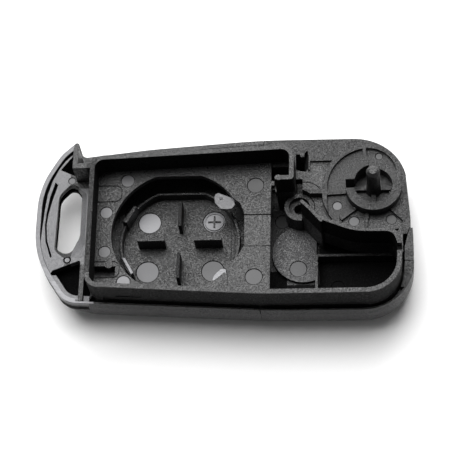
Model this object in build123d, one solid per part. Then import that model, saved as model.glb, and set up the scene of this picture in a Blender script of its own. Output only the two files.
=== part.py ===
from build123d import *
import os

# Lower half of a folding key remote, open side up, lengths in millimetres.
# The origin is the bottom centre of the bounding box, +Z points out of the open side.

# Levels above the table, most of them tied to the parting plane of the two halves
back_floor = 1.2
cover_floor = 1.5
disc_level = 2.0
parting = 8.1
plate_under = parting - 1.5
deck_under = parting - 2.5
recess_level = parting - 0.6
channel_floor = parting - 1.8
boss_top = deck_under + 0.9
tray_top = parting + 0.5
tray_thick = 1.2
tray_under = tray_top - tray_thick
step_level = tray_top + 0.7
wall_top = tray_top + 5.6
ring_floor = recess_level - 0.8
cross_rib_top = ring_floor + 1.7
pin_root_top = cross_rib_top + 0.5
ring_top = ring_floor + 3.1
ring_high_top = ring_top + 1.5
pin_top = ring_top + 6.1
wall_foot = back_floor + 3.0

# Plan sizes
half_length = 37.65
end_x = -half_length
far_side = 18.68
seam_x = 7.85
seam_gap = 0.05
near_seam_gap = 0.2
fit_gap = 0.1
back_edge_radius = 3.6
skin = 1.2
rim = 0.9
lip = 0.35
wall = 0.95
inner_wall = 0.65
tray_end_x = 9.6
frame_left = -25.8
strip_end_y = -1.5
mark_depth = 0.12
mark_sides = 16
line_width = 0.2
line_depth = 0.25
post_radius = 0.85

# Coin cell well
cell_x = -9.0
cell_y = -1.8
cell_seat = 3.66
press_rib_start = 2.97
press_rib_end = 8.5
press_rib_width = 0.65
well_lip_radius = 12.1
well_lip_top_cut = 11.1
well_lip_left_end = -7.5
well_lip_right_end = -10.0
well_lip_thick = 0.4
well_lip_height = 2.2
well_mark_radius = 2.33
opening_radius = 13.2

# Blade pivot
pivot_x = 30.0
pivot_y = 7.15
pin_radius = 1.35
pin_root_radius = 1.8
ring_outer = 5.55
ring_inner = 3.75
cross_rib_width = 0.9

# Screw boss
boss_x = 15.15
boss_y = 4.2
boss_radius = 3.0
boss_sink_radius = 2.1
boss_sink_floor = 5.4
boss_bore_radius = 1.1
boss_bore_floor = 2.6

# Low ribs on the back floor
low_rib_x = 18.5
low_rib_y = -5.4
low_rib_width = 0.55

# Keyring end
end_under = parting - 3.3
end_skin = 0.8
slot_pin_x = end_x + 6.8
slot_pin_y = -7.4
slot_pin_radius = 0.6
slot_pin_hole_radius = 0.8
end_rib_x = -27.7
end_rib_width = 0.9

far = 60


def plate(face, low, high):
    return extrude(Pos(0, 0, low) * face, high - low)


def corner_face(points):
    return make_face([Polyline(*points, close=True)])


def disc(x, y, radius, low, high):
    return plate(Pos(x, y) * Circle(radius), low, high)


def mark(x, y, radius, level):
    # Shallow round ejector mark; with so low a wall, a many-sided outline reads as round.
    return plate(Pos(x, y) * RegularPolygon(radius, mark_sides), level - mark_depth, level + 1)


def area(x0, x1, y0, y1):
    return Pos((x0 + x1) / 2, (y0 + y1) / 2) * Rectangle(x1 - x0, y1 - y0)


def block(x0, x1, y0, y1, low, high):
    return plate(area(x0, x1, y0, y1), low, high)


def strip_face(wire, width):
    return make_face(offset(wire, width / 2, side=Side.BOTH))


def rounded_face(corners):
    points = [(x, y) for x, y, radius in corners]
    radii = [radius for x, y, radius in corners]
    return make_face([FilletPolyline(*points, radius=radii, close=True)])


def rounded_strip(corners, width):
    points = [(x, y) for x, y, radius in corners]
    radii = [radius for x, y, radius in corners[1:-1]]
    return strip_face(FilletPolyline(*points, radius=radii), width)


def bar_face(start, end, width):
    # Straight strip with square ends.
    along = Vector(*end) - Vector(*start)
    middle = (Vector(*start) + Vector(*end)) / 2
    turn = Rot(0, 0, along.get_signed_angle(Vector(1, 0), Vector(0, 0, -1)))
    return Pos(middle.X, middle.Y) * turn * Rectangle(along.length, width)


# Each row is a corner of the outline with the radius that rounds it.
shared_corners = [
    (-15, 17.1, 60), (7, far_side, 150), (half_length - 1.9, far_side - 0.1, 10.6), (half_length, -3.0, 60),
    (half_length, -19.0, 10), (10.2, -19.0, 150), (end_x + 6.65, -16.6, 5), (end_x, -6.55, 20),
    (end_x, 8.86, 18),
]
bridged_corners = [(end_x + 3.45, 15.0, 4)]
beak_corners = [(end_x + 4.15, 16.32, 8), (end_x + 7.45, 19.44, 0.5), (end_x + 8.6, 15.5, 1.3)]


def smooth_form():
    # The outline with its notch bridged over, so that the back edge can be rounded.
    return rounded_face(shared_corners + bridged_corners)


def true_outline():
    return rounded_face(shared_corners + beak_corners)


def right_trim():
    # The deck side stands a little inside the strip that ends below it.
    face = corner_face([
        (-0.5, strip_end_y), (2, strip_end_y), (2, 14), (-1.45, 14), (-1.2, 9.4), (-0.5, 0.5),
    ])
    return plate(Pos(half_length, 0) * face, -1, parting + 1)


def end_rise(lift):
    # What is left out below the keyring end, where the back sweeps up to the thin end.
    start = 19.65
    curve = Spline(
        (start, lift), (13.65, 1.6 + lift), (9.65, 4.1 + lift), (6.15, end_under + lift),
        (-1.35, end_under + lift), tangents=[(-1, 0), (-1, 0)],
    )
    around = Polyline((-1.35, end_under + lift), (-1.35, -9), (start, -9), (start, lift))
    return Pos(end_x, 0, 0) * extrude(Plane.XZ * make_face([curve, around]), amount=far, both=True)


def outside_form():
    form = plate(smooth_form(), 0, parting)
    form = fillet(form.edges().group_by(Axis.Z)[0], back_edge_radius)
    form += block(end_x - 2.35, end_x + 10.65, 11, 25, end_under - 1, parting)
    form = form & plate(true_outline(), -1, parting)
    return form - [end_rise(0), right_trim()]


def hollow_form(floor):
    # The space inside the skin, below the step that carries the thin lip.
    inside = plate(offset(smooth_form(), -skin), floor, channel_floor)
    return chamfer(inside.edges().group_by(Axis.Z)[0], (back_edge_radius - skin) * 0.6)


# Centre lines of the tall walls, each row a corner with its rounding radius.
frame_corners = [
    (11.1, 6.95, 0), (13.95, 6.95, 0.4), (13.95, 13.85, 2.1), (-25.85, 12.15, 2.3), (-25.6, -15.5, 2.3),
    (8, -17.6, 100), (34.6, -17.5, 6.5), (34.95, -8.0, 0),
]
boss_wall_corners = [(16.05, 1.6, 0), (17.6, 0.0, 3), (19.8, -2.6, 0)]
blade_wall_corners = [
    (19.75, -2.1, 0), (26.2, -4.75, 12), (33.9, -4.9, 2.2), (35.1, -8.4, 0),
]
skirt_split_y = 5.0

# The near wall's outer side, where it steps back, and the short ridge that snaps into the rim.
near_wall_outside = [(-23, -15.66), (8, -17.6), (28, -17.55), (28, -30), (-23, -30)]
snap_ridge_ends = [(-20.3, -16.24), (-15.3, -16.55)]


def slot_face():
    return rounded_face([
        (6.85, 10.0, 1.2), (4.15, 7.0, 3), (4, -4.4, 1.9), (6.95, -5.9, 1.6), (8.8, -1.6, 3),
        (8.7, 7.6, 1.4),
    ])


def slot_flare():
    # The slot opens out toward the top of the keyring plate.
    upper = rounded_face([
        (6.95, 9.9, 1.2), (4.3, 7.0, 3), (4.05, -5.3, 1.9), (6.65, -7.6, 1.6), (10.15, -5.0, 3),
        (9.9, 7.2, 1.4),
    ])
    return loft([Pos(0, 0, plate_under) * slot_face(), Pos(0, 0, parting) * upper])


def keyring_cuts():
    # Plan points here are measured from the keyring end, like the slot.
    upper_pocket = corner_face([
        (6.6, 16.1), (4.2, 12.8), (9.1, 10.5), (9.6, 11.1), (9.6, 13.0), (6.9, 13.3),
    ])
    lower_pocket = corner_face([
        (4.0, -9.7), (9.2, -7.6), (9.5, -7.9), (9.5, -18.5), (6.65, -16.8), (2.65, -12.0),
    ])
    crescent = corner_face([
        (3.3, 10.0), (3.9, 9.4), (3.0, 6.0), (2.35, 2.7), (2.15, 0.4), (2.45, -3.0),
        (3.65, -6.6), (3.35, -6.9), (2.15, -3.2), (1.8, 0.4), (1.95, 3.0), (2.45, 6.8),
    ])
    skin_groove = corner_face([
        (6.7, 16.5), (5.2, 14.95), (4.0, 13.2), (2.75, 10.4), (1.9, 7.2), (1.55, 3.8),
        (1.3, -0.7), (1.15, -4.0), (-1.35, -4.0), (-1.35, 20), (6.65, 20),
    ])
    through = [upper_pocket, lower_pocket, crescent, skin_groove]
    cuts = [plate(face, plate_under - 1, parting + 1) for face in through]
    cuts += [slot_flare(), mark(6.7, 10.3, 0.8, parting)]
    cuts = [Pos(end_x, 0, 0) * cut for cut in cuts]
    return cuts + [disc(slot_pin_x, slot_pin_y, slot_pin_hole_radius, plate_under - 1, parting + 1)]


def end_rib_face(width):
    return bar_face((end_rib_x, -7.8), (end_rib_x, -18.0), width)


def keyring_plate():
    # Thin top plate of the keyring end, one moulding with the loop wall.
    inside = offset(true_outline(), -(rim + seam_gap)) & area(-far, frame_left, -far, 16.5)
    inside -= area(end_rib_x - 0.5, frame_left + 0.8, -far, -9.0)
    rib = end_rib_face(end_rib_width) & offset(true_outline(), -(lip + fit_gap))
    return plate(inside, plate_under, parting) - keyring_cuts() + plate(rib, plate_under, parting)


def l_wall():
    corner = area(end_x + 7.8, end_x + 8.8, 9.95, 14.6) + area(end_x + 7.8, end_x + 11.45, 9.95, 11.05)
    return plate(corner, plate_under, wall_top)


def tray_opening():
    circle = Pos(cell_x, cell_y) * Circle(opening_radius)
    window = Pos(cell_x, cell_y + 0.2) * Rectangle(2 * opening_radius + 2, 24.4)
    bay = corner_face([
        (-3.2, 8.2), (-0.7, 6.0), (0.1, 3.8), (0.25, -3.2), (-1.35, -6.1), (-4.2, -8.8), (-10.2, -0.2),
    ])
    return (circle & window) + Pos(cell_x + opening_radius, cell_y) * bay


def cell_tabs():
    # Two low tabs on the edge of the bay, so they move out with it.
    lug = corner_face([
        (-3.6, 0.2), (-3.3, 0.9), (-2.8, 1.15), (0.4, -0.2), (1.0, 0.3), (1.0, -0.5), (0.45, -0.55),
        (0.6, -1.6), (0.0, -2.4), (-0.8, -2.55), (-2.3, -2.4), (-3.4, -1.05),
    ])
    bay_x = cell_x + opening_radius
    place = Pos(bay_x - 2.51, cell_y + 7.76)
    sliver = corner_face([
        (0.0, 0.0), (-0.75, -0.15), (-1.55, -0.9), (-2.05, -1.55), (-2.3, -2.5), (-1.2, -2.5),
        (-0.8, -3.4), (-0.5, -2.5), (0.7, -0.6),
    ])
    corner = Pos(bay_x - 3.66, cell_y - 7.89)
    return [plate(face, tray_under, tray_top - 0.9) for face in (place * lug, corner * sliver)]


def tray_marks():
    marks = [
        (-19.45, 9.8, 1.4), (-23.45, 2.7, 1.3), (-23.35, -6.0, 1.3), (-19.25, -12.6, 1.4),
        (6.45, 8.2, 1.7), (6.45, -11.9, 1.75),
    ]
    return [mark(x, y, radius, tray_top) for x, y, radius in marks]


def tongue_line(y_low, y_high, x_end):
    # Fine groove round a tongue of the tray; its left end runs out under the frame wall.
    turn = (y_high - y_low) / 2 * 0.8
    tongue = area(frame_left, x_end - turn, y_low, y_high)
    tongue += area(frame_left, x_end, y_low + turn, y_high - turn)
    for y in (y_low + turn, y_high - turn):
        tongue += Pos(x_end - turn, y) * RegularPolygon(turn, mark_sides)
    return tongue - offset(tongue, -line_width)


def tongue_ramp():
    # The lower tongue dips toward its rib, so the rib stands over a sloping pocket.
    high = tray_top + 3
    slope = corner_face([(-11.6, tray_top), (-9.2, tray_top - 2.0), (-9.2, high), (-11.6, high)])
    return Pos(-25.3, 0, 0) * extrude(Plane.YZ * slope, 4.3)


def tongue_rib():
    # Low rib with a round post at its free end, standing over the dip of the lower tongue.
    post_x = cell_x - opening_radius - 0.15
    rib = block(frame_left + 0.5, post_x, -9.2, -8.45, tray_under, tray_top + 0.1)
    post = Pos(post_x, -8.8) * RegularPolygon(post_radius, mark_sides)
    return rib + plate(post, tray_under, tray_top + 0.1)


def tray():
    whole = corner_face([
        (tray_end_x, 13.66), (-25.85, 12.15), (-25.6, -15.45), (5.35, -17.45), (tray_end_x, -17.5),
    ])
    cuts = tray_marks() + [
        plate(tongue_line(5.0, 8.8, -20.35), tray_top - line_depth, tray_top + 1),
        plate(tongue_line(-11.8, -8.1, -20.05), tray_top - line_depth, tray_top + 1),
        block(4.3, tray_end_x + 1, 1.55, 1.75, tray_top - 0.5, tray_top + 1),
        block(4.3, tray_end_x + 1, -5.3, -5.2, tray_top - 0.1, tray_top + 1),
        block(1.25, 1.37, -13.8, -11.2, tray_top - 0.1, tray_top + 1),
        plate(Pos(0.95, -10.8) * RegularPolygon(0.3, 8), 0, far),
        tongue_ramp(),
    ]
    pad = block(-25.6, -20.4, -12.2, -8.0, tray_top - 2.8, tray_under)
    body = plate(whole - tray_opening(), tray_under, tray_top) + pad - cuts
    hooks = [
        block(tray_end_x - 0.3, tray_end_x + 0.6, 8.1, 9.15, tray_top - 2.4, tray_top),
        block(tray_end_x - 0.3, tray_end_x + 1.0, 7.7, 8.15, tray_top - 2.4, tray_top - 1.2),
        block(tray_end_x + 0.8, tray_end_x + 2.0, 6.95, 8.2, tray_top - 2.4, tray_top - 0.6),
    ]
    return body + hooks + cell_tabs() + [tongue_rib()]


def recess_face():
    # Shallow ground round the pivot ring, down to the curved wall.
    left = ThreePointArc((20.75, 7.1), (23.0, 13.6), (28.2, 16.4))
    right_x = half_length - 3.05
    cap = ThreePointArc((28.2, 16.4), (right_x - 2.0, 15.0), (right_x, 11.0))
    side = Polyline((right_x, 11.0), (right_x - 1.6, 7.0), (right_x - 1.3, 2.9), (right_x + 1.15, 0.4),
                    (right_x + 0.8, -2.0), (right_x - 0.2, -4.9))
    foot = Polyline((right_x - 0.2, -4.9), (right_x - 1.1, -4.9), (26.2, -4.7), (22.3, -3.1))
    turn = ThreePointArc((22.3, -3.1), (20.9, 2.3), (20.75, 7.1))
    return make_face([left, cap, side, foot, turn])


def deck_face():
    zone = corner_face([
        (seam_x, 12.5), (seam_x, 30), (far, 30), (far, strip_end_y), (half_length - 0.65, strip_end_y),
        (half_length - 1.25, -2.9), (half_length - 2.05, -2.9), (half_length - 2.05, -7.0),
        (half_length - 3.65, -5.2), (20.0, -2.4), (13.9, 2.0), (13.95, 12.5),
    ])
    return true_outline() & zone


def deck_cuts():
    clip = corner_face([
        (14.45, 15.3), (15.25, 15.3), (15.45, 14.7), (16.15, 14.7), (16.15, 15.4), (16.75, 16.2),
        (17.25, 13.3), (16.55, 11.6), (15.45, 11.7), (14.45, 12.0),
    ])
    # Both grounds end at the raised band round the pivot, an arc about the pin.
    upper_band = ThreePointArc((21.7, 13.75), (20.2, 10.5), (19.7, 7.3))
    side_recess = make_face([Polyline((19.7, 7.3), (14.5, 7.3), (14.5, 13.7), (21.7, 13.75)), upper_band])
    lower_band = ThreePointArc((19.72, 6.4), (20.3, 3.5), (21.7, 1.0))
    low_edge = Polyline((21.7, 1.0), (22.6, -2.6), (19.9, -2.3), (14.3, 0.2), (14.3, 7.0), (15.9, 7.0),
                        (15.9, 6.4), (19.72, 6.4))
    low_ground = make_face([lower_band, low_edge])
    faint_arc = strip_face(ThreePointArc((15.9, 9.2), (17.9, 8.8), (19.3, 7.5)), line_width)
    boss_room = Pos(boss_x, boss_y) * Circle(boss_radius + fit_gap)
    pocket = corner_face([(14.3, 6.0), (15.8, 6.0), (15.8, 9.9), (14.3, 9.9)])
    open_left = corner_face([(13.0, -1.0), (13.0, 6.0), (15.4, 6.0), (16.1, 1.6), (19.4, -2.0), (17.0, -6.0)])
    cuts = [plate(clip, 0, far)]
    cuts += [plate(side_recess, recess_level + fit_gap, far)]
    cuts += [plate(low_ground, boss_top, far)]
    cuts += [plate(boss_room, 0, far)]
    cuts += [plate(pocket, 0, far)]
    cuts += [plate(open_left, 0, far)]
    cuts += [plate(recess_face(), recess_level, far)]
    cuts += [plate(faint_arc, recess_level - 0.1, far)]
    sink = corner_face([(-3.65, -1.55), (-2.8, -1.45), (-3.05, -2.15)])
    cuts += [plate(Pos(half_length, 0) * sink, recess_level - 0.5, far)]
    return cuts


def clip_slope():
    # Sloping right side of the clip hole.
    slope = corner_face([(16.1, deck_under), (17.4, deck_under), (17.3, parting), (17.0, parting)])
    return Pos(0, 16.0, 0) * extrude(Plane.XZ * slope, 4.2)


def deck_marks():
    marks = [(22.75, 3.8, 1.0), (26.05, 0.3, 1.1), (33.45, 0.6, 1.1), (31.15, 14.8, 0.8)]
    return [mark(x, y, radius, recess_level) for x, y, radius in marks]


def spokes():
    lines = [
        ((28.2, 16.6), (28.5, 12.0)), ((20.6, 6.35), (25.0, 6.6)), ((23.4, 0.6), (26.6, 3.2)),
        ((28.0, -4.4), (28.7, 2.2)), ((36.0, 0.2), (33.2, 3.0)),
    ]
    faces = [bar_face(start, end, cross_rib_width * 0.8) for start, end in lines]
    return [plate(face, recess_level - 0.5, parting) for face in faces]


def pivot():
    # Everything here is placed round the pin, then moved to the pivot as one.
    ring = disc(0, 0, ring_outer, deck_under, ring_top)
    sector = corner_face([(0, 0), (-0.8, 9), (-9, 9), (-9, 0.6)])
    ring += plate(Circle(ring_outer) & sector, ring_top - 0.1, ring_high_top)
    ring -= disc(0, 0, ring_inner, ring_floor, far)
    ring -= block(-6.5, -3, -0.5, 0.6, ring_floor + 0.5, far)
    ring -= block(-0.9, -0.2, 3, 6.5, ring_floor + 0.5, far)
    reach = 2 * ring_inner + 0.6
    cross = Rectangle(reach, cross_rib_width) + Rectangle(cross_rib_width, reach)
    ring += plate(cross, ring_floor - 0.2, cross_rib_top)
    pin = disc(0, 0, pin_radius, ring_floor - 0.2, pin_top)
    pin = chamfer(pin.edges().group_by(Axis.Z)[-1], 0.6)
    root_height = pin_root_top - ring_floor
    root = Pos(0, 0, ring_floor + root_height / 2) * Cone(pin_root_radius, pin_radius, root_height)
    return Pos(pivot_x, pivot_y, 0) * (ring + root + pin)


def ledge_face():
    # Long far ledge where a folded blade would lie.
    inside = offset(true_outline(), -(rim + seam_gap))
    zone = corner_face([
        (end_x + 7.75, 10.5), (end_x + 7.75, 30), (seam_x + 1.0, 30), (seam_x + 1.0, 13.4), (-24.0, 12.2),
        (frame_left, 10.5),
    ])
    return inside & zone


def near_wall_step():
    # The lower part of the near wall stands back, which draws a line along its outside.
    band = rounded_strip(frame_corners, wall + 0.6) - rounded_strip(frame_corners, wall - 0.3)
    return plate(band & corner_face(near_wall_outside), 0, step_level)


def snap_ridge():
    return plate(bar_face(*snap_ridge_ends, 0.4), step_level + 0.5, step_level + 0.8)


def carrier():
    deck = plate(deck_face(), deck_under, parting) - right_trim()
    deck -= deck_cuts() + deck_marks()
    frame = rounded_strip(frame_corners, wall)
    near_skirt = frame & area(tray_end_x, far, -far, skirt_split_y)
    far_skirt = frame & area(tray_end_x, far, skirt_split_y, far)
    far_skirt -= Pos(boss_x, boss_y) * Circle(boss_radius + fit_gap)
    boss_wall = rounded_strip(boss_wall_corners, inner_wall)
    blade_wall = rounded_strip(blade_wall_corners, inner_wall)
    walls = [
        plate(frame, plate_under, wall_top),
        plate(near_skirt, wall_foot, plate_under + 0.1),
        plate(far_skirt, disc_level + fit_gap, plate_under + 0.1),
        plate(boss_wall, disc_level + fit_gap, wall_top),
        plate(blade_wall, wall_foot, wall_top),
    ]
    body = deck + walls + spokes()
    body += [plate(ledge_face(), plate_under, parting), keyring_plate(), l_wall(), tray(), pivot()]
    wall_end = Pos(11.4, 6.95) * RegularPolygon(0.65, 8)
    far_pad = Pos(11.25, 17.0) * RegularPolygon(1.0, mark_sides)
    body += [snap_ridge(), clip_slope(), plate(wall_end, tray_top - 2, wall_top)]
    body += [plate(far_pad, parting - 0.2, parting + 0.1)]
    end_notch = Pos(*frame_corners[-1][:2]) * area(-0.75, 0.65, -1.3, 0.2)
    return body - [plate(end_notch, wall_top - 1.2, far), near_wall_step()]


def press_ribs():
    length = press_rib_end - press_rib_start
    middle = (press_rib_end + press_rib_start) / 2
    ribs = []
    face = Pos(middle, 0) * Rectangle(length, press_rib_width)
    for turn in range(4):
        place = Pos(cell_x, cell_y) * Rot(0, 0, 90 * turn)
        ribs += [plate(place * face, cover_floor - 0.3, cover_floor + cell_seat)]
    return ribs


def well_lip():
    whole = Circle(well_lip_radius) & area(-far, far, -far, well_lip_top_cut)
    ring = whole - offset(whole, -well_lip_thick)
    ring -= area(-far, 0, -far, well_lip_left_end) + area(0, far, -far, well_lip_right_end)
    return plate(Pos(cell_x, cell_y) * ring, cover_floor - 0.3, cover_floor + well_lip_height)


def well_marks():
    cuts = []
    for side in (-1, 1):
        for way in (-1, 1):
            x = cell_x + side * 6.6
            y = cell_y + way * 5.5
            cuts += [mark(x, y, well_mark_radius, cover_floor)]
    return cuts


def corner_ledge():
    # Bright inner ledge that follows the rim round the near corner of the keyring end.
    band = offset(true_outline(), -0.5) - offset(true_outline(), -1.75)
    band = band & corner_face([
        (-far, -10.5), (end_x + 4.65, -10.5), (frame_left - 0.1, -14.5), (frame_left - 0.1, -25), (-far, -25),
    ])
    room = rounded_strip(frame_corners, wall + 2 * fit_gap)
    return plate(band - end_rib_face(end_rib_width + 2 * fit_gap) - room, end_under + 0.3, parting - 0.5)


def battery_cover():
    cover_side = block(-far, seam_x - seam_gap, -far, far, -1, far)
    body = outside_form() & cover_side
    top = offset(true_outline(), -rim)
    near_room = offset(true_outline(), -lip) & area(end_rib_x - 0.9, far, -far, -10)
    thin_end = top & area(-far, frame_left + 0.8, -far, far)
    cavity = [
        (hollow_form(cover_floor) & block(frame_left - 0.2, far, -far, far, 0, far)) - end_rise(skin),
        plate(top, channel_floor, parting + 1),
        plate(near_room, channel_floor, parting + 1),
        plate(thin_end, end_under + end_skin, channel_floor + 0.1),
        plate(Pos(end_x, 0) * slot_face(), 0, plate_under),
    ]
    near_seam = block(seam_x - near_seam_gap, seam_x, -far, 0, channel_floor, far)
    body -= cavity + well_marks() + [near_seam]
    pin = disc(slot_pin_x, slot_pin_y, slot_pin_radius, end_under + 0.3, parting - 0.1)
    near_bar = corner_face([(-20.4, -5.6), (-19.75, -5.75), (-17.95, -8.95), (-18.4, -9.3)])
    far_bar = corner_face([(-18.5, 5.95), (-17.9, 5.7), (-19.8, 2.1), (-20.7, 2.5)])
    return body + press_ribs() + [
        well_lip(),
        pin,
        corner_ledge(),
        plate(near_bar, cover_floor - 0.3, 5.0),
        plate(far_bar, cover_floor - 0.3, 5.0),
        block(1.0, 1.2, -4.9, 1.2, cover_floor - 0.3, cover_floor + 0.25),
        block(1.7, 1.9, -4.5, 0.5, cover_floor - 0.3, cover_floor + 0.25),
    ]


def screw_boss():
    boss_wall = rounded_strip(boss_wall_corners, inner_wall + 2 * fit_gap)
    boss = disc(boss_x, boss_y, boss_radius, back_floor - 0.2, boss_top)
    return boss - [
        disc(boss_x, boss_y, boss_sink_radius, boss_sink_floor, far),
        disc(boss_x, boss_y, boss_bore_radius, boss_bore_floor, far),
        plate(boss_wall, disc_level, far),
        block(16.0, 20, 0, 2.3, disc_level, far),
    ]


def low_ribs():
    long_rib = bar_face((low_rib_x - 0.3, low_rib_y), (33.7, low_rib_y), low_rib_width)
    cross_rib = bar_face((low_rib_x, low_rib_y), (low_rib_x, -17.1), low_rib_width)
    return [plate(rib, back_floor - 0.2, wall_foot - fit_gap) for rib in (long_rib, cross_rib)]


def strip_face_right():
    # Wide flat rim of the right strip, with a narrow dark gap where the deck ends.
    return Pos(half_length, 0) * corner_face([
        (-0.75, strip_end_y), (-1.0, -2.6), (-1.75, -5.8), (-1.8, -9.0), (-1.9, -10.7), (-2.2, -12.9),
        (-2.7, -14.3), (2.35, -14.4), (2.35, strip_end_y),
    ])


def rear_shell():
    form = outside_form() & block(seam_x, far, -far, far, -1, far)
    wall_seat = rounded_strip(frame_corners, wall + 2 * fit_gap) & area(seam_x, far, -far, skirt_split_y)
    room = [
        plate(wall_seat, wall_foot - fit_gap, parting + 1),
        hollow_form(back_floor) & block(seam_x - 1, far, -far, far, 0, far),
        plate(offset(true_outline(), -lip) - strip_face_right(), channel_floor, parting + 1),
        plate(offset(deck_face(), fit_gap), deck_under, parting + 1),
        block(half_length - 2.05, half_length - 0.25, -8.75, -8.6, parting - 0.15, parting + 1),
    ]
    closing = block(seam_x, seam_x + skin, -18.0, 17.5, back_floor - 0.2, deck_under)
    raised = Pos(15.85, -3.95) * Circle(6.3)
    raised = raised & corner_face([(8.5, -15), (8.5, 6), (18.4, 6), (18.4, -15)])
    body = form - room
    body += [closing & form, plate(raised, back_floor - 0.2, disc_level), screw_boss()]
    body += low_ribs()
    return body - [
        mark(14.75, -7.3, 1.75, disc_level),
        mark(22.65, -11.1, 1.4, back_floor),
        mark(boss_x - boss_radius - 0.75, boss_y - 0.6, boss_radius / 2, back_floor),
    ]


def write(name, shape):
    os.makedirs("parts", exist_ok=True)
    export_step(shape, "parts/" + name + ".step")


write("battery_cover", battery_cover())
write("rear_shell", rear_shell())
write("carrier", carrier())
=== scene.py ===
# %% [markdown]
# A folding key remote, open on its back.
# The real object is three black plastic mouldings with a fine spark texture.
# They could be modelled again here, but the solid model already carries every wall, rib and
# pin, so this scene keeps those solids and spends its work on the finish, the light and the
# view.

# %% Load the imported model
import math

import bmesh
import bpy
from mathutils import Matrix, Vector


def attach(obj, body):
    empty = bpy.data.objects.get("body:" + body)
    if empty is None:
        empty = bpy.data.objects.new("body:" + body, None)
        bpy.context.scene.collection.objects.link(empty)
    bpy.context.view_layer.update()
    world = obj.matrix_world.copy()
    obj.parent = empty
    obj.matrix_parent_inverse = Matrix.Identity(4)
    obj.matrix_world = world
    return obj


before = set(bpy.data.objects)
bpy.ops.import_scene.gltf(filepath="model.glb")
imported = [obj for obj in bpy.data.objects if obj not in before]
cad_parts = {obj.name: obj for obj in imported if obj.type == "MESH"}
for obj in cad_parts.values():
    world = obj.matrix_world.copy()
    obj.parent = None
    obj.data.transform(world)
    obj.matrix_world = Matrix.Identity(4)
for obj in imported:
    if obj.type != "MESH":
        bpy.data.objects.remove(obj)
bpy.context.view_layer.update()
MM = 0.001

# %% [markdown]
# The view comes from a little to the right of the near edge and high above it, turned
# slightly about its own line of sight.
# A camera could be aimed with a constraint, but that has no place for the small turn, so
# the three directions of the camera are worked out from three angles.

# %% The three directions of the camera
AZIMUTH = math.radians(12.02)
ELEVATION = math.radians(63.11)
ROLL = math.radians(-11.78)

back = Vector((
    math.sin(AZIMUTH) * math.cos(ELEVATION),
    -math.cos(AZIMUTH) * math.cos(ELEVATION),
    math.sin(ELEVATION),
))
level_right = Vector((math.cos(AZIMUTH), math.sin(AZIMUTH), 0))
level_up = back.cross(level_right)
right = math.cos(ROLL) * level_right + math.sin(ROLL) * level_up
up = -math.sin(ROLL) * level_right + math.cos(ROLL) * level_up
print("the camera looks along", [round(-part, 3) for part in back])

# %% [markdown]
# The cell well lies left of the middle of the picture and a little below it.
# A shift of the lens could place it there, but the camera is moved right and up instead,
# by a few millimetres, so that the lens stays plain for every other view.
# A long lens at some distance keeps near and far walls almost equally large.

# %% Place the camera
WELL_CENTRE = Vector((-9.0, -1.8, 1.5)) * MM
DISTANCE = 363.7 * MM
SHIFT_RIGHT = 8.86 * MM
SHIFT_UP = 4.44 * MM
LENS_LENGTH = 144
SENSOR_WIDTH = 36
NEAREST_SEEN = 0.01
FARTHEST_SEEN = 20

camera_data = bpy.data.cameras.new("camera")
camera_data.lens = LENS_LENGTH
camera_data.sensor_width = SENSOR_WIDTH
camera_data.clip_start = NEAREST_SEEN
camera_data.clip_end = FARTHEST_SEEN
camera = bpy.data.objects.new("camera", camera_data)
bpy.context.scene.collection.objects.link(camera)
stand = WELL_CENTRE + DISTANCE * back + SHIFT_RIGHT * right + SHIFT_UP * up
turn = Matrix((right, up, back)).transposed().to_4x4()
camera.matrix_world = Matrix.Translation(stand) @ turn
bpy.context.scene.camera = camera
print("the camera stands at", [round(part, 4) for part in stand])

# %% [markdown]
# Every finish below is a few shader nodes joined in a row.
# They could be written out one call at a time, but short helpers that add a node and fill
# its sockets let each cell read as a list of what the finish is made of.

# %% Helpers for shader nodes
def add_node(tree, kind, label, **values):
    """A new node. Each value goes to the property of its name, or else to the socket."""
    node = tree.nodes.new(kind)
    node.label = label
    for name, value in values.items():
        if hasattr(node, name):
            setattr(node, name, value)
        else:
            node.inputs[name].default_value = value
    return node


def math_node(tree, operation, label, *values):
    """The result of a sum on one to three values, each a number or another node's socket."""
    node = add_node(tree, "ShaderNodeMath", label, operation=operation)
    for index, value in enumerate(values):
        if isinstance(value, (int, float)):
            node.inputs[index].default_value = value
        else:
            tree.links.new(value, node.inputs[index])
    return node.outputs[0]


def vector_node(tree, operation, label, place, numbers=(0, 0, 0)):
    """The result of a sum on the three coordinates of a place and three fixed numbers."""
    node = add_node(tree, "ShaderNodeVectorMath", label, operation=operation)
    tree.links.new(place, node.inputs[0])
    node.inputs[1].default_value = numbers
    return node.outputs["Value" if operation == "DISTANCE" else "Vector"]


def largest(tree, label, masks):
    """The largest of several masks at each place."""
    result = masks[0]
    for mask in masks[1:]:
        result = math_node(tree, "MAXIMUM", label, result, mask)
    return result


print("the node helpers serve", len(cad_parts), "solids and the floor")
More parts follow.
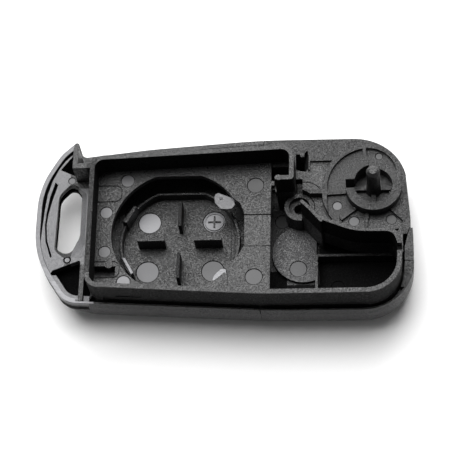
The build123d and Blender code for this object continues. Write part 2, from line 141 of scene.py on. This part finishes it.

# %% [markdown]
# The ejector pins of a mould leave round, smooth spots, which get less roughness and no grain
# here; their colour is also painted lighter, a painted highlight of a strength set for each
# mark, and a thin painted shade line is drawn round each.
# They could be separate discs, but each one is part of its moulding, so the finish finds
# them by the distance to their centres, which this table gives.

# %% Where the smooth round marks are
# Each row is x, y, radius and level, in millimetres, and then the shine, which also sets
# how much lighter the mark is painted, as a painted highlight.
CARRIER_MARKS = [
    (-19.45, 9.8, 1.4, 8.5, 0.25),
    (-23.45, 2.7, 1.3, 8.5, 0.35),
    (-23.35, -6.0, 1.3, 8.5, 0.2),
    (-19.25, -12.6, 1.4, 8.5, 0.4),
    (6.45, 8.2, 1.7, 8.5, 0.03),
    (6.45, -11.9, 1.75, 8.5, 0.08),
    (22.75, 3.8, 1.0, 7.4, 0.2),
    (26.05, 0.3, 1.1, 7.4, 0.15),
    (33.45, 0.6, 1.1, 7.4, 0.02),
    (31.15, 14.8, 0.8, 7.4, 0.05),
    (-30.95, 10.3, 0.8, 8.0, 0.2),
]
COVER_MARKS = [
    (-15.6, 3.7, 2.33, 1.4, 0.75),
    (-2.4, 3.7, 2.33, 1.4, 0.6),
    (-15.6, -7.3, 2.33, 1.4, 0.27),
    (-2.4, -7.3, 2.33, 1.4, 0.14),
    (-30.85, -7.4, 0.6, 8.0, 0.3),
]
SHELL_MARKS = [
    (14.75, -7.3, 1.75, 1.9, 0.13),
    (22.65, -11.1, 1.4, 1.1, 0.02),
    (11.4, 3.6, 1.5, 1.1, 0.02),
]
print("marks:", len(CARRIER_MARKS) + len(COVER_MARKS) + len(SHELL_MARKS))

# %% [markdown]
# A mask is a number from nought to one at each place of a surface.
# The marks could be painted as a picture, but a few sums on distances stay sharp however
# close the camera comes, and nothing has to be unfolded.
# Heights count six times in the distance, which keeps each mark on its own level.

# %% Find the marks on the plastic
LEVEL_WEIGHT = 6
# Half the width of the painted shade line round each mark.
SHADE_LINE_HALF = 0.12


def mark_masks(tree, coordinates, marks):
    """The gloss and painted highlight of the round marks, and the painted shade line round
    each.
    """
    weighted = vector_node(tree, "MULTIPLY", "level weight", coordinates, (1, 1, LEVEL_WEIGHT))
    shines = []
    lines = []
    for x, y, radius, level, highlight_and_gloss in marks:
        centre = (x * MM, y * MM, level * MM * LEVEL_WEIGHT)
        distance = vector_node(tree, "DISTANCE", "to mark", weighted, centre)
        inside = math_node(tree, "LESS_THAN", "inside", distance, radius * MM)
        # The thin ring at each mark's edge is painted shade, standing in for its shallow
        # wall's shadow.
        line = math_node(tree, "COMPARE", "its line", distance, radius * MM, SHADE_LINE_HALF * MM)
        shines.append(math_node(tree, "MULTIPLY", "its shine", inside, highlight_and_gloss))
        lines.append(line)
    return largest(tree, "any mark", shines), largest(tree, "any line", lines)


print("the line round a mark is", 2 * SHADE_LINE_HALF, "mm wide")

# %% [markdown]
# The zones change the gloss, and they also paint light and shade into the colour.
# Rims, the small tabs by the well, the keyring plate, the near outer skin and a few floors are
# painted lighter, a painted highlight and sheen, while tall walls, the deck and the floors of
# the deep pockets are painted darker, painted shade, and are made duller.
# The faces could be picked out one by one, but each zone ends at a straight wall or at a
# level, so plain boxes in the object's own frame are enough.

# %% Where the finish is painted lighter or darker, and glossier or duller
# Each row is x from and to, y from and to, z from and to, and shine: above nought the place is
# painted lighter, a painted highlight, and glossier; below nought it is painted darker,
# painted shade, and duller.
CARRIER_ZONES = [
    (-27, 23.5, -20, 18, 8.75, 14.1, -0.8),
    (23.5, 37, -20, 0.4, 8.75, 14.1, -0.8),
    (20, 36.5, 0.5, 17, 7.45, 14.1, -0.15),
    (-25, 37, -3, 20, 8.05, 8.2, -0.16),
    (-27, -24.9, -13, 16, 14.1, 14.3, -0.35),
    (-39, -31.3, -20, 20, 8.0, 8.2, 0.3),
    (-30.2, -27.4, -8.5, 8.5, 6.65, 8.2, 0.26),
    (-2.6, 2.6, 2.0, 7.3, 7.6, 8.1, 0.35),
    (-3, 1.5, -13, -9.5, 7.6, 7.8, 0.6),
    (3.4, 9.7, 1.2, 1.9, 8.2, 8.55, -1.0),
    (-30.1, -26.2, 10.4, 14, 4.0, 8.05, -0.9),
]
COVER_ZONES = [
    (-39, -26.2, -18, 19, 5.0, 6.4, -1.0),
    (-39, -26, -20, -9, 7.0, 7.75, 0.3),
    (-39, -31, -9, 20, 7.9, 8.2, 0.4),
    (-39, -26, -12, -9, 7.9, 8.2, 0.5),
    (-39, -25, -20, -12, 7.9, 8.2, 0.65),
    (-39, 9, -20, -16, 0.0, 6.0, 0.045),
    (-21, -17, -10, -5, 4.9, 5.1, 0.6),
    (-9.5, -8.5, -11, 7, 3.0, 5.3, -0.4),
]
SHELL_ZONES = [
    (18.9, 36, -18, 6, 1.0, 1.6, -0.85),
    (8, 12.5, -18, -7.5, 1.0, 1.6, -0.9),
    (12.5, 18.9, -18, -10.5, 1.0, 1.6, -0.8),
    (8, 18.9, -7.5, 6, 1.0, 1.6, -0.2),
    (8, 20, -13, 1, 1.8, 2.1, 0.08),
    (7, 39, -20, -16, 0.0, 6.0, 0.045),
    (28, 39, -18, 3, 7.9, 8.2, -0.1),
]
print("zones:", len(CARRIER_ZONES) + len(COVER_ZONES) + len(SHELL_ZONES))

# %% [markdown]
# A place lies in a box when it is less than half the box's size away from its middle, along
# each of the three axes.
# That could be six comparisons, but divided by the half sizes it is a single one, against
# the largest of the three.

# %% Find the zones on the plastic
WHOLE_HALF = 1.0


def zone_masks(tree, coordinates, zones):
    """The painted highlight and gloss, and the painted shade and dullness, of the zones, both
    nought outside them.
    """
    highlighted_and_glossy = []
    dull_and_shaded = []
    for x0, x1, y0, y1, z0, z1, highlight_and_gloss in zones:
        spans = ((x0, x1), (y0, y1), (z0, z1))
        middle = [(start + end) / 2 * MM for start, end in spans]
        half_size = [(end - start) / 2 * MM for start, end in spans]
        offset = vector_node(tree, "SUBTRACT", "to zone middle", coordinates, middle)
        scaled = vector_node(tree, "DIVIDE", "in half sizes", offset, half_size)
        absolute = vector_node(tree, "ABSOLUTE", "to either side", scaled)
        axes = add_node(tree, "ShaderNodeSeparateXYZ", "three sides")
        tree.links.new(absolute, axes.inputs[0])
        widest = largest(tree, "widest of the three", list(axes.outputs))
        inside = math_node(tree, "LESS_THAN", "in the zone", widest, WHOLE_HALF)
        masks = highlighted_and_glossy if highlight_and_gloss > 0 else dull_and_shaded
        masks.append(math_node(tree, "MULTIPLY", "how much", inside, abs(highlight_and_gloss)))
    return largest(tree, "any shiny zone", highlighted_and_glossy), largest(tree, "any dull zone", dull_and_shaded)


dull_and_shaded_rows = [row for row in CARRIER_ZONES + COVER_ZONES + SHELL_ZONES if row[-1] < 0]
print("dull zones:", len(dull_and_shaded_rows))

# %% [markdown]
# The marks and the zones meet in three masks: where the plastic gets a painted highlight and
# more gloss, where it gets painted shade and less gloss, and where it keeps its grain, which
# is everywhere outside the smooth marks.
# They could stay apart up to the shader, but the colour, the gloss and the relief all need
# them, so they are joined once.

# %% Join the marks and the zones
SMALLEST_SHINE = 0.01


def plastic_masks(tree, coordinates, marks, zones):
    """Where the plastic gets a painted highlight, where it gets painted shade and where it has
    its grain.
    """
    mark_highlight_and_gloss, mark_shade_line = mark_masks(tree, coordinates, marks)
    zone_highlight_and_gloss, zone_dull_and_shaded = zone_masks(tree, coordinates, zones)
    highlight_and_gloss = largest(tree, "any shine", [mark_highlight_and_gloss, zone_highlight_and_gloss])
    painted_shade_and_dullness = largest(tree, "line or dull zone", [mark_shade_line, zone_dull_and_shaded])
    grained = math_node(tree, "LESS_THAN", "outside marks", mark_highlight_and_gloss, SMALLEST_SHINE)
    return highlight_and_gloss, painted_shade_and_dullness, grained


print("a mark loses its grain from a shine of", SMALLEST_SHINE)

# %% [markdown]
# The plastic is the same black all through, so a smooth place that looks far lighter than the
# rest is a painted highlight, and a tall wall or a deep floor that gives back nearly no light
# is painted shade, with its reflection painted weaker too.
# Each place could have a material of its own, but then the solids would have to be cut up,
# so one material mixes lighter and darker tints by the masks.

# %% The colour of the black plastic, with painted highlights and painted shade
BLACK = (0.010, 0.010, 0.0105)
# The black is painted lighter for highlights and darker for shade, and its reflection is
# painted weaker in the shade.
PAINTED_HIGHLIGHT_TINT = 40
PAINTED_SHADE_TINT = 0.15
FULL_REFLECTION = (1, 1, 1)
PAINTED_SHADE_REFLECTION = (0.1, 0.1, 0.1)


def mix_colours(tree, label, mask, plain, marked):
    """The plain colour where the mask is nought, and the marked one where it is one."""
    mix = add_node(tree, "ShaderNodeMix", label, data_type="RGBA")
    tree.links.new(mask, mix.inputs["Factor"])
    for name, colour in (("A", plain), ("B", marked)):
        if isinstance(colour, tuple):
            mix.inputs[name].default_value = (*colour, 1)
        else:
            tree.links.new(colour, mix.inputs[name])
    return mix.outputs["Result"]


def colour_plastic(tree, shader, highlight_and_gloss, painted_shade_and_dullness):
    """The black, painted lighter as a painted highlight, and painted darker with a weaker
    reflection as painted shade.
    """
    painted_highlight_black = tuple(part * PAINTED_HIGHLIGHT_TINT for part in BLACK)
    painted_shade_black = tuple(part * PAINTED_SHADE_TINT for part in BLACK)
    tint = mix_colours(tree, "shine tint", highlight_and_gloss, BLACK, painted_highlight_black)
    shade = mix_colours(tree, "dark tint", painted_shade_and_dullness, tint, painted_shade_black)
    tree.links.new(shade, shader.inputs["Base Color"])
    # The reflection is painted weaker where the painted shade falls.
    shaded_reflection = mix_colours(tree, "swallowed light", painted_shade_and_dullness, FULL_REFLECTION, PAINTED_SHADE_REFLECTION)
    tree.links.new(shaded_reflection, shader.inputs["Specular Tint"])


print("black:", BLACK, "lighter by", PAINTED_HIGHLIGHT_TINT, "where it shines")

# %% [markdown]
# Spark-textured plastic is a field of tiny pits, so it scatters light widely and looks dark
# grey where it faces a lamp.
# Real pits would take millions of faces, so a fine noise changes the gloss from pit to pit,
# and a slower one shifts it a little, as handling and mould wear do.
# Smooth places are glossier, and dull ones lose their gloss.

# %% The gloss of the black plastic
GRAIN_GLOSS = 1.4
GRAIN_MIDDLE = 0.5
WEAR_SCALE = 180.0
WEAR_DETAIL = 4.0
WEAR_GLOSS = 0.08
SHINE_GLOSS = -0.1
DULL_GLOSS = 0.5


def gloss_plastic(tree, shader, coordinates, roughness, grain, highlight_and_gloss, painted_shade_and_dullness, grained):
    """The roughness, moved by the grain, the wear, the shine and the dullness."""
    wear = add_node(
        tree, "ShaderNodeTexNoise", "slow wear", Scale=WEAR_SCALE, Detail=WEAR_DETAIL)
    tree.links.new(coordinates, wear.inputs["Vector"])
    centred = math_node(tree, "SUBTRACT", "centred grain", grain, GRAIN_MIDDLE)
    outside = math_node(tree, "MULTIPLY", "grain outside marks", centred, grained)
    without_wear = roughness - WEAR_GLOSS / 2
    rough = math_node(
        tree, "MULTIPLY_ADD", "grain gloss", outside, GRAIN_GLOSS, without_wear)
    worn = math_node(tree, "MULTIPLY_ADD", "wear", wear.outputs["Fac"], WEAR_GLOSS, rough)
    glossy = math_node(tree, "MULTIPLY_ADD", "shine gloss", highlight_and_gloss, SHINE_GLOSS, worn)
    dull_and_shaded = math_node(tree, "MULTIPLY_ADD", "dull places", painted_shade_and_dullness, DULL_GLOSS, glossy)
    dull_and_shaded.node.use_clamp = True
    tree.links.new(dull_and_shaded, shader.inputs["Roughness"])


print("the wear changes the roughness by", WEAR_GLOSS)

# %% [markdown]
# The same pits catch the light as a fine relief, and moulded walls have thin bright rims,
# because no edge of theirs is quite sharp.
# Rounding every edge of the solids would take many faces, so the shader rounds them by a
# hair where it works out the light, and the grain is laid over that as a bump.

# %% The relief of the black plastic
GRAIN_HEIGHT = 0.08 * MM
GRAIN_STRENGTH = 1.0
EDGE_ROUNDING = 0.12 * MM
EDGE_SAMPLES = 4


def roughen_plastic(tree, shader, grain, grained):
    """Rounded edges, with the grain over them wherever there is any."""
    rounded = add_node(
        tree, "ShaderNodeBevel", "edge rounding", samples=EDGE_SAMPLES, Radius=EDGE_ROUNDING)
    height = math_node(tree, "MULTIPLY", "grain strength", grained, grain)
    bump = add_node(
        tree, "ShaderNodeBump", "grain", Distance=GRAIN_HEIGHT, Strength=GRAIN_STRENGTH)
    tree.links.new(height, bump.inputs["Height"])
    tree.links.new(rounded.outputs["Normal"], bump.inputs["Normal"])
    tree.links.new(bump.outputs["Normal"], shader.inputs["Normal"])


print("edges are rounded by", EDGE_ROUNDING / MM, "mm")

# %% [markdown]
# Plastic and paper are both plain solid stuff, so each finish here has a single shader.
# It could be the one that Blender puts into a new material, but an emptied tree shows only
# what is put in on purpose.

# %% A helper for a new finish
def new_material(name):
    """A material with one surface shader, and its node tree and that shader."""
    material = bpy.data.materials.new(name)
    material.use_nodes = True
    tree = material.node_tree
    tree.nodes.clear()
    shader = add_node(tree, "ShaderNodeBsdfPrincipled", "surface finish")
    output = add_node(tree, "ShaderNodeOutputMaterial", "surface")
    tree.links.new(shader.outputs["BSDF"], output.inputs["Surface"])
    return material, tree, shader


print("materials that came with the solids:", len(bpy.data.materials))

# %% [markdown]
# The three mouldings are the same black, but the two back skins are a little duller than
# the tray, and each has its own marks and zones.
# One material could serve all three with one long table, but three short ones are easier to
# change, so a single function makes them one after the other.

# %% Make the black plastic
GRAIN_SIZE = 0.235 * MM
GRAIN_DETAIL = 1.0
PLASTIC_IOR = 1.5
TRAY_ROUGHNESS = 0.46
SKIN_ROUGHNESS = 0.48


def spark_plastic(name, roughness, marks, zones):
    """Black plastic with a spark texture, smooth round marks, and zones glossier with painted
    highlight or duller with painted shade.
    """
    material, tree, shader = new_material(name)
    coordinates = add_node(tree, "ShaderNodeTexCoord", "place").outputs["Object"]
    noise = add_node(
        tree, "ShaderNodeTexNoise", "spark grain", Scale=1 / GRAIN_SIZE, Detail=GRAIN_DETAIL)
    tree.links.new(coordinates, noise.inputs["Vector"])
    grain = noise.outputs["Fac"]
    highlight_and_gloss, painted_shade_and_dullness, grained = plastic_masks(tree, coordinates, marks, zones)
    colour_plastic(tree, shader, highlight_and_gloss, painted_shade_and_dullness)
    gloss_plastic(tree, shader, coordinates, roughness, grain, highlight_and_gloss, painted_shade_and_dullness, grained)
    roughen_plastic(tree, shader, grain, grained)
    shader.inputs["IOR"].default_value = PLASTIC_IOR
    print(name, "has", len(tree.nodes), "nodes")
    return material


carrier_black = spark_plastic("carrier black", TRAY_ROUGHNESS, CARRIER_MARKS, CARRIER_ZONES)
cover_black = spark_plastic("cover black", SKIN_ROUGHNESS, COVER_MARKS, COVER_ZONES)
shell_black = spark_plastic("shell black", SKIN_ROUGHNESS, SHELL_MARKS, SHELL_ZONES)

# %% [markdown]
# Each moulding gets its finish in place of the plain one that it came with.
# The faces could be given slots one by one, but a moulding is all one plastic, so its solid
# has a single material.

# %% Put the finishes on the solids
finishes = {
    "carrier": carrier_black,
    "battery_cover": cover_black,
    "rear_shell": shell_black,
}
for node_name, finish in finishes.items():
    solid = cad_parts[node_name]
    solid.data.materials.clear()
    solid.data.materials.append(finish)
    print(node_name, "has", len(solid.data.polygons), "faces in", finish.name)

# %% [markdown]
# Three small raised details stand on the mouldings: the ring and the plus that show which
# way up the coin cell goes, and a tiny dome on the tab beside the well.
# They could be carved on the solids, but they are too fine for those, so they are short
# meshes built here, and each one rides on the body that it is moulded with.

# %% Helpers for the small raised details
def vertex_ring(workpiece, loop, level):
    """The points of a plan loop, in millimetres, as corners of the mesh at one level."""
    return [workpiece.verts.new((x * MM, y * MM, level * MM)) for x, y in loop]


def join_rings(workpiece, first, second):
    """A band of four-sided faces between two rings of as many corners."""
    for index in range(len(first)):
        following = (index + 1) % len(first)
        corners = (first[index], first[following], second[following], second[index])
        workpiece.faces.new(corners)


def finish_piece(workpiece, name, body, finish):
    """Turns the mesh into a piece that rides on its body."""
    bmesh.ops.recalc_face_normals(workpiece, faces=workpiece.faces)
    mesh = bpy.data.meshes.new(name)
    workpiece.to_mesh(mesh)
    workpiece.free()
    piece = bpy.data.objects.new(name, mesh)
    bpy.context.scene.collection.objects.link(piece)
    mesh.materials.append(finish)
    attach(piece, body)
    print(name, "has", len(mesh.polygons), "faces and rides on", body)


print("materials so far:", len(bpy.data.materials))

# %% [markdown]
# The ring of the sign is a low flat band on a smooth spot of the well's floor.
# A torus or a bevelled curve would come out round, so two circles are set up at two levels
# and joined all round.
# It is painted lighter as the spot under it is, a painted highlight, because it has the same
# finish.

# %% Raise the ring of the sign
SIGN_X = -2.4
SIGN_Y = 3.7
SIGN_LOW = 1.34
SIGN_TOP = 1.58
RING_OUTER = 2.0
RING_INNER = 1.78
ROUND_STEPS = 48


def circle_points(radius):
    """The corners of a circle about the middle of the sign, as a plan loop."""
    turns = [2 * math.pi * step / ROUND_STEPS for step in range(ROUND_STEPS)]
    return [(SIGN_X + radius * math.cos(a), SIGN_Y + radius * math.sin(a)) for a in turns]


ring = bmesh.new()
outer_low = vertex_ring(ring, circle_points(RING_OUTER), SIGN_LOW)
outer_top = vertex_ring(ring, circle_points(RING_OUTER), SIGN_TOP)
inner_low = vertex_ring(ring, circle_points(RING_INNER), SIGN_LOW)
inner_top = vertex_ring(ring, circle_points(RING_INNER), SIGN_TOP)
join_rings(ring, outer_low, outer_top)
join_rings(ring, outer_top, inner_top)
join_rings(ring, inner_top, inner_low)
join_rings(ring, inner_low, outer_low)
finish_piece(ring, "polarity_ring", "cover", cover_black)

# %% [markdown]
# The plus inside the ring is a small cross with a flat top, as high as the ring.
# Two crossed bars would share faces inside, so one outline of twelve corners is drawn and
# given a thickness.
# The tray's finish has no mark here, so the plus is not painted lighter and stays black on the
# spot that is.

# %% Raise the plus of the sign
ARM_LENGTH = 1.3
ARM_HALF = 0.15

quarter = [(ARM_LENGTH, -ARM_HALF), (ARM_LENGTH, ARM_HALF), (ARM_HALF, ARM_HALF)]
outline = []
for quarter_turn in range(4):
    outline += [(SIGN_X + x, SIGN_Y + y) for x, y in quarter]
    quarter = [(-y, x) for x, y in quarter]

plus = bmesh.new()
plus_low = vertex_ring(plus, outline, SIGN_LOW)
plus_top = vertex_ring(plus, outline, SIGN_TOP)
join_rings(plus, plus_low, plus_top)
plus.faces.new(plus_top)
plus.faces.new(plus_low[::-1])
finish_piece(plus, "polarity_plus", "cover", carrier_black)

# %% [markdown]
# The dome on the tab is a shallow cap, less than a millimetre across.
# It could be spun from an arc, but the upper half of a ball, squashed and closed below, is
# shorter to make and has no seam.

# %% Raise the dome on the tab
DOME_X = -0.51
DOME_Y = 5.87
DOME_LOW = 7.68
DOME_RADIUS = 0.36
DOME_HEIGHT = 0.25
DOME_SLICES = 24
DOME_RINGS = 12

dome = bmesh.new()
bmesh.ops.create_uvsphere(dome, u_segments=DOME_SLICES, v_segments=DOME_RINGS, radius=1.0)
ball = dome.verts[:] + dome.edges[:] + dome.faces[:]
bmesh.ops.bisect_plane(
    dome, geom=ball, plane_co=(0, 0, 0), plane_no=(0, 0, -1), clear_outer=True)
rim = [edge for edge in dome.edges if edge.is_boundary]
bmesh.ops.holes_fill(dome, edges=rim, sides=0)
for vert in dome.verts:
    vert.co.x = (DOME_X + vert.co.x * DOME_RADIUS) * MM
    vert.co.y = (DOME_Y + vert.co.y * DOME_RADIUS) * MM
    vert.co.z = (DOME_LOW + vert.co.z * DOME_HEIGHT) * MM
for face in dome.faces:
    face.smooth = True
# The tab's zone in the tray's finish paints the dome lighter, a painted highlight.
finish_piece(dome, "tab_dome", "housing", carrier_black)

# %% [markdown]
# The shell lies on a bare pale sweep of paper, with hardly any pattern of its own.
# A plain white would do from afar, but two near-white tones and a shallow tooth, both from
# one noise, keep the paper from looking like nothing at all.

# %% The finish of the floor
FLOOR_ROUGHNESS = 0.9
PAPER_SCALE = 900.0
PAPER_DETAIL = 3.0
PAPER_WARM = (0.955, 0.95, 0.95)
PAPER_WHITE = (0.98, 0.98, 0.98)
PAPER_TOOTH = 0.01 * MM

pale_sweep, paper_tree, paper_shader = new_material("pale sweep")
paper = add_node(
    paper_tree, "ShaderNodeTexNoise", "unevenness", Scale=PAPER_SCALE, Detail=PAPER_DETAIL)
paper_place = add_node(paper_tree, "ShaderNodeTexCoord", "place").outputs["Object"]
paper_tree.links.new(paper_place, paper.inputs["Vector"])
uneven = paper.outputs["Fac"]
pale = mix_colours(paper_tree, "pale tones", uneven, PAPER_WARM, PAPER_WHITE)
paper_tree.links.new(pale, paper_shader.inputs["Base Color"])
tooth = add_node(paper_tree, "ShaderNodeBump", "paper tooth", Distance=PAPER_TOOTH)
paper_tree.links.new(uneven, tooth.inputs["Height"])
paper_tree.links.new(tooth.outputs["Normal"], paper_shader.inputs["Normal"])
paper_shader.inputs["Roughness"].default_value = FLOOR_ROUGHNESS
print(pale_sweep.name, "has", len(paper_tree.nodes), "nodes")

# %% [markdown]
# The sweep reaches past every edge of the picture.
# It could curve up behind the object as in a studio, but the view is steep and sees only
# its flat part, so a single square is enough.

# %% Lay the floor
FLOOR_HALF = 1.5

floor_corners = [
    (-FLOOR_HALF, -FLOOR_HALF, 0),
    (FLOOR_HALF, -FLOOR_HALF, 0),
    (FLOOR_HALF, FLOOR_HALF, 0),
    (-FLOOR_HALF, FLOOR_HALF, 0),
]
floor_mesh = bpy.data.meshes.new("floor")
floor_mesh.from_pydata(floor_corners, [], [(0, 1, 2, 3)])
floor_mesh.materials.append(pale_sweep)
floor = bpy.data.objects.new("floor", floor_mesh)
bpy.context.scene.collection.objects.link(floor)
print("the floor is", 2 * FLOOR_HALF, "m wide")

# %% [markdown]
# Large soft boxes behind and above draw a sheen on every face that looks up, and leave the
# walls that face the camera nearly black.
# Small lamps would draw hard shadows, so both lights are wide rectangles, and each one is
# turned towards the object.

# %% Set up the soft boxes
# Each row is a name, the place and the size in metres, and the power in watts.
SOFT_BOXES = [
    ("top box", (-0.1, 0.3, 0.8), (1.0, 0.56), 10.5),
    ("back box", (-0.1, 0.9, 0.45), (1.2, 0.4), 11),
]

for name, position, (width, depth), power in SOFT_BOXES:
    light = bpy.data.lights.new(name, "AREA")
    light.shape = "RECTANGLE"
    light.size = width
    light.size_y = depth
    light.energy = power
    box = bpy.data.objects.new(name, light)
    bpy.context.scene.collection.objects.link(box)
    box.location = position
    box.rotation_euler = Vector(position).to_track_quat("Z", "Y").to_euler()
    print(name, "gives", power, "W")

# %% [markdown]
# The surroundings of the object are an even white.
# A room with white walls could be built, but a white world lights every side alike, and a
# plain colour view keeps the sweep pure white.

# %% Fill in with a white world
WHITE = (1, 1, 1, 1)
WORLD_STRENGTH = 0.14

world = bpy.data.worlds.new("white room")
world.use_nodes = True
background = world.node_tree.nodes["Background"]
background.inputs["Color"].default_value = WHITE
background.inputs["Strength"].default_value = WORLD_STRENGTH
bpy.context.scene.world = world
bpy.context.scene.view_settings.view_transform = "Standard"
print("the world gives", WORLD_STRENGTH, "from all round")
